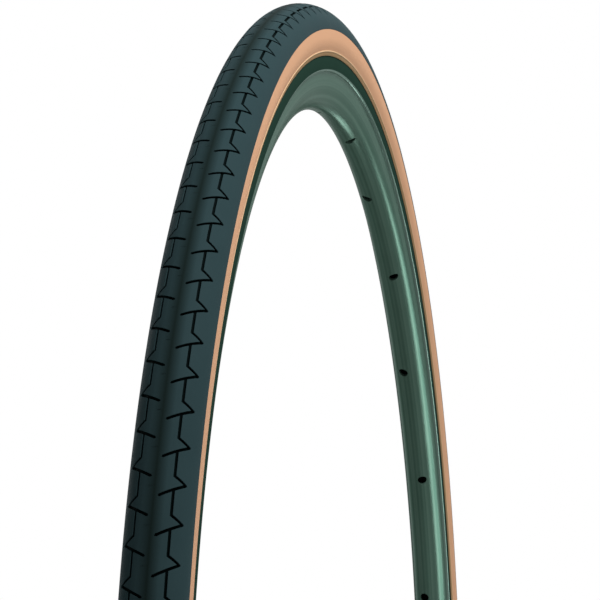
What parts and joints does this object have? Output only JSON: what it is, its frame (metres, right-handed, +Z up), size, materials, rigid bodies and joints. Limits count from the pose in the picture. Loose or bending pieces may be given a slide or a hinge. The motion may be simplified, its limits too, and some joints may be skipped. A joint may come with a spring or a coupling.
{
  "type": "bicycle tyre on rim",
  "caption": "Narrow road bicycle clincher tyre with tan side walls, inflated on a deep bare rim with empty spoke holes, inner tube and slim screw-down valve.",
  "frame": {"origin": "centre of the wheel, on its axle line in the middle plane", "axes": "+Y along the axle line to the right, +Z up, the valve at the bottom pointing up, -X forward"},
  "size_m": [0.6738, 0.0224, 0.6738],
  "materials": {
    "tread_rubber": "black satin rubber, moulded with fine grooves",
    "breaker_cloth": "woven puncture-resistant strip",
    "casing_cloth": "rubber-coated nylon cord ply",
    "tan_rubber": "thin tan gum coat, satin",
    "bead_steel": "brass-plated steel wire",
    "chafer_cloth": "woven black rim strip",
    "tube_rubber": "black butyl rubber",
    "rim_alloy": "grey-green anodised satin-gloss alloy",
    "sleeve_alloy": "plain mill finish",
    "tape_cloth": "woven cotton tape",
    "valve_brass": "nickel-plated brass",
    "cap_plastic": "moulded black plastic"
  },
  "bodies": {
    "tyre_and_rim": {"tread": "tread_rubber", "breaker_strip": "breaker_cloth", "casing": "casing_cloth", "sidewall_left": "tan_rubber", "sidewall_right": "tan_rubber", "bead_wire_left": "bead_steel", "bead_wire_right": "bead_steel", "chafer_left": "chafer_cloth", "chafer_right": "chafer_cloth", "inner_tube": "tube_rubber", "valve_base_pad": "tube_rubber", "rim": "rim_alloy", "rim_joint_sleeve": "sleeve_alloy", "rim_tape": "tape_cloth", "valve_stem": "valve_brass", "valve_core": "valve_brass"},
    "valve_cap": {"valve_cap": "cap_plastic"},
    "rim_nut": {"rim_nut": "valve_brass"},
    "valve_lock_nut": {"valve_lock_nut": "valve_brass"},
    "valve_pin": {"valve_pin": "valve_brass", "pin_seal": "tube_rubber"}
  },
  "joints": [
    {"name": "cap_off", "type": "slide", "parent": "tyre_and_rim", "child": "valve_cap", "axis": [0, 0, 1], "range_m": [0, 0.022]},
    {"name": "rim_nut_travel", "type": "slide", "parent": "tyre_and_rim", "child": "rim_nut", "axis": [0, 0, 1], "range_m": [0, 0.022]},
    {"name": "lock_nut_turn", "type": "hinge", "parent": "tyre_and_rim", "child": "valve_lock_nut", "pos_m": [0, 0, -0.255], "axis": [0, 0, 1], "range_deg": [0, 1440]},
    {"name": "pin_travel", "type": "slide", "parent": "tyre_and_rim", "child": "valve_pin", "axis": [0, 0, -1], "range_m": [0, 0.002], "stiffness_N_per_m": 500}
  ]
}
